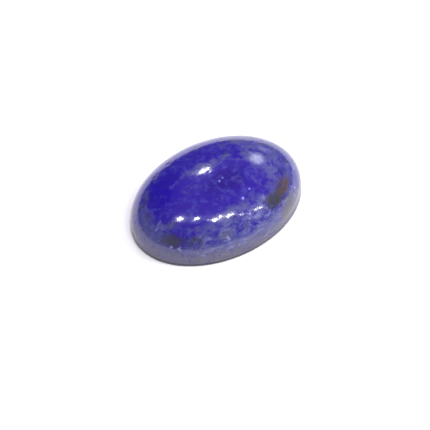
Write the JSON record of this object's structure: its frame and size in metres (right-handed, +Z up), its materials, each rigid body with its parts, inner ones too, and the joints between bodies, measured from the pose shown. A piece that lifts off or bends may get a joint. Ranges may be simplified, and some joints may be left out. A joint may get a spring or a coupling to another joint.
{
  "type": "lapis lazuli cabochon",
  "caption": "Polished oval cabochon of lapis lazuli, a low dome over a short wall, lying on its flat back.",
  "frame": {"origin": "centre of the flat back, on the surface that the stone lies on", "axes": "+X along the oval's long axis, +Y along its short axis, +Z up through the crown of the dome"},
  "size_m": [0.018, 0.013, 0.0049],
  "materials": {
    "lapis": "polished"
  },
  "bodies": {
    "root": {"cabochon": "lapis"}
  },
  "joints": []
}
